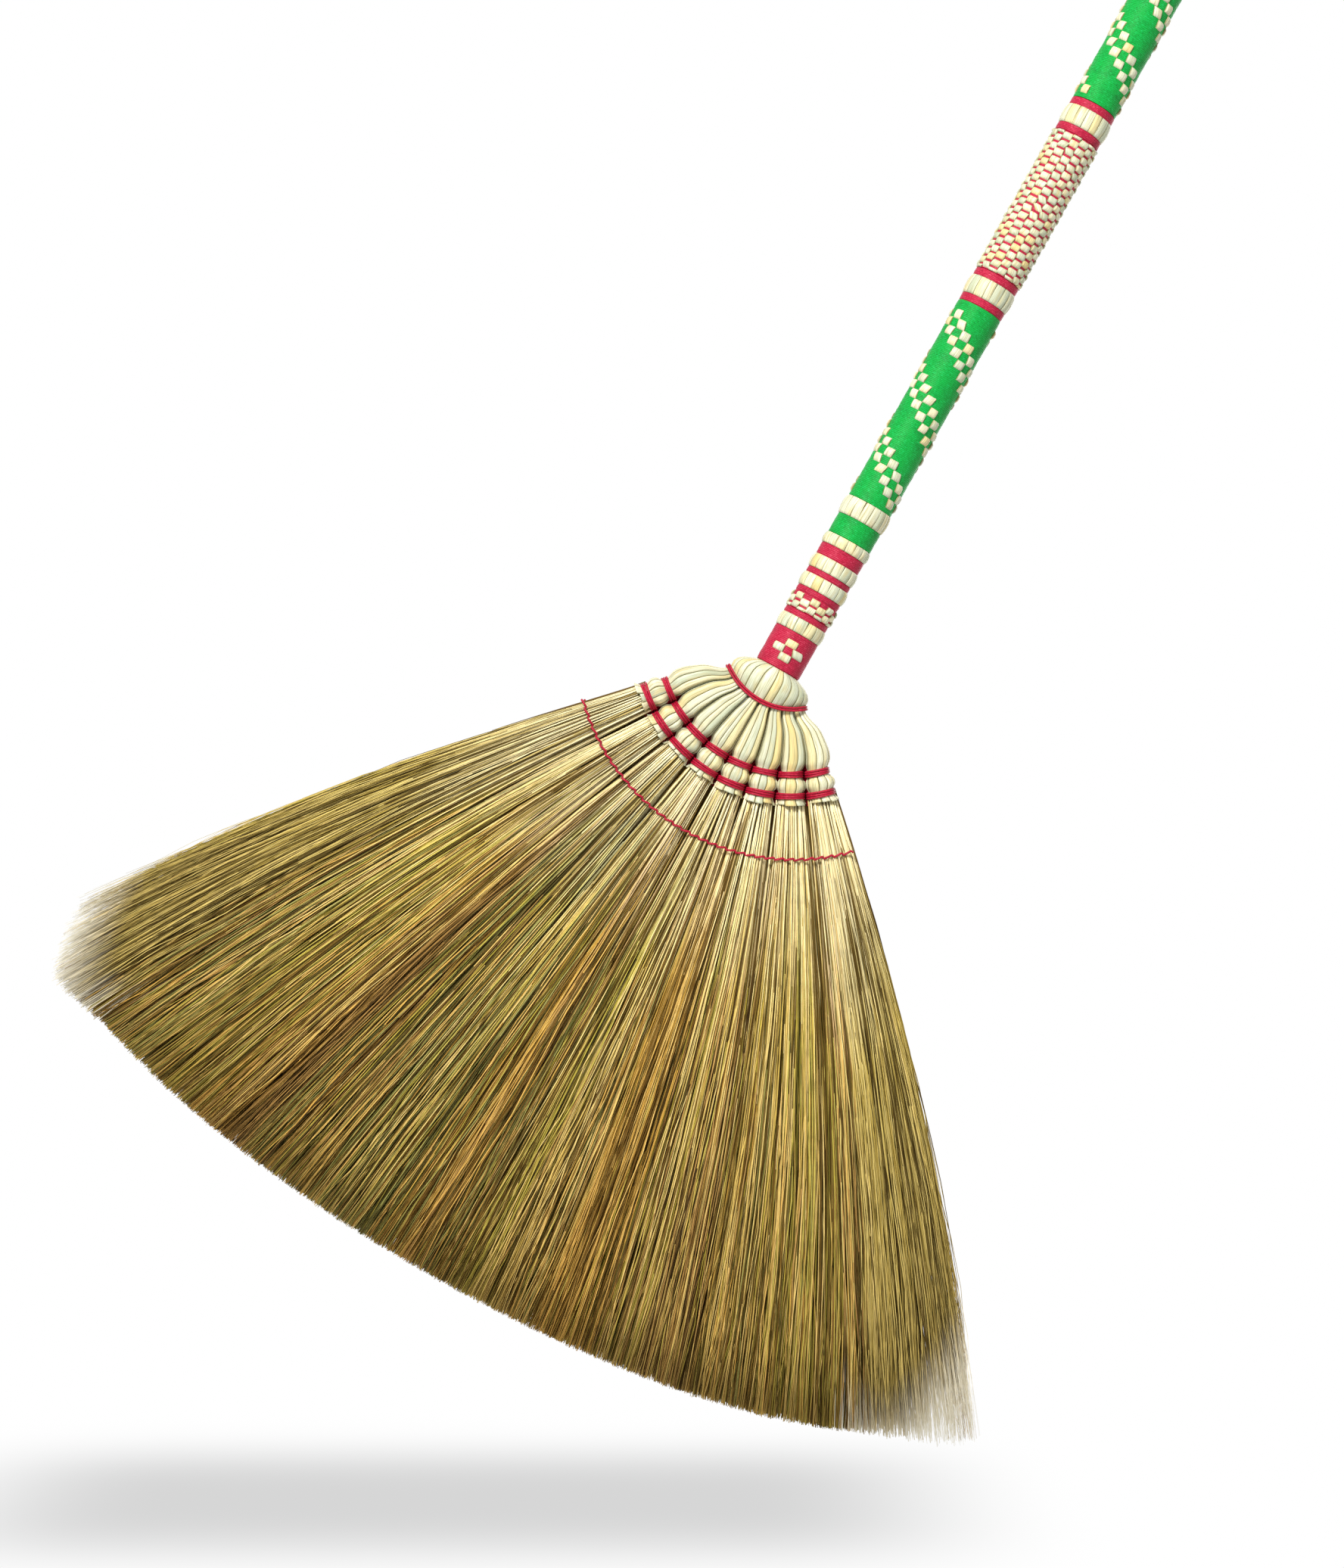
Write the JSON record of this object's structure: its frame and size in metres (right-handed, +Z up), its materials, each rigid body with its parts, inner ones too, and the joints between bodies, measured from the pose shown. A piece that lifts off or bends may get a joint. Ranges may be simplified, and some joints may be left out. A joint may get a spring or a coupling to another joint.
{
  "type": "straw broom",
  "caption": "Flat fan straw broom with bound reed bundles, trimmed broom grass and a long handle dressed in woven reed and wound thread",
  "frame": {"origin": "middle of the hanging hole that crosses the top of the stick", "axes": "+Z up along the handle away from the grass, +X along the width of the fan, +Y through the fan's thickness towards its back"},
  "size_m": [0.4832, 0.0272, 0.9982],
  "materials": {
    "stick_wood": "satin",
    "cream_reed": "satin dried reed",
    "broom_grass": "matt dried grass",
    "green_thread": "sheen of wound synthetic thread",
    "crimson_thread": "sheen of wound synthetic thread",
    "tie_wire": "drawn wire"
  },
  "bodies": {
    "root": {"bristles_1": "broom_grass", "bristles_2": "broom_grass", "bristles_3": "broom_grass", "bristles_4": "broom_grass", "bristles_5": "broom_grass", "bristles_6": "broom_grass", "bristles_7": "broom_grass", "bristles_8": "broom_grass", "bundle_bindings_lower": "crimson_thread", "bundle_bindings_upper": "crimson_thread", "collar": "cream_reed", "flower_band": "crimson_thread", "flower_reeds": "cream_reed", "green_checks_lower": "cream_reed", "green_checks_middle": "cream_reed", "green_checks_top": "cream_reed", "green_wrap_lower": "green_thread", "green_wrap_middle": "green_thread", "green_wrap_short": "green_thread", "green_wrap_top": "green_thread", "handle_reeds": "cream_reed", "handle_stick": "stick_wood", "neck_binding": "crimson_thread", "neck_tie_wire": "tie_wire", "red_bands_1": "crimson_thread", "red_bands_2": "crimson_thread", "red_bands_3": "crimson_thread", "red_bands_4": "crimson_thread", "red_bands_5": "crimson_thread", "red_bands_neck": "crimson_thread", "reed_sheath_1": "cream_reed", "reed_sheath_2": "cream_reed", "reed_sheath_3": "cream_reed", "reed_sheath_4": "cream_reed", "reed_sheath_5": "cream_reed", "reed_sheath_6": "cream_reed", "reed_sheath_7": "cream_reed", "reed_sheath_8": "cream_reed", "stalk_bundle_1": "broom_grass", "stalk_bundle_2": "broom_grass", "stalk_bundle_3": "broom_grass", "stalk_bundle_4": "broom_grass", "stalk_bundle_5": "broom_grass", "stalk_bundle_6": "broom_grass", "stalk_bundle_7": "broom_grass", "stalk_bundle_8": "broom_grass", "stitch_thread": "crimson_thread", "weave_reeds_lower": "cream_reed", "weave_reeds_short": "cream_reed", "weave_reeds_upper": "cream_reed", "weave_thread_lower": "crimson_thread", "weave_thread_short": "crimson_thread", "weave_thread_upper": "crimson_thread"}
  },
  "joints": []
}
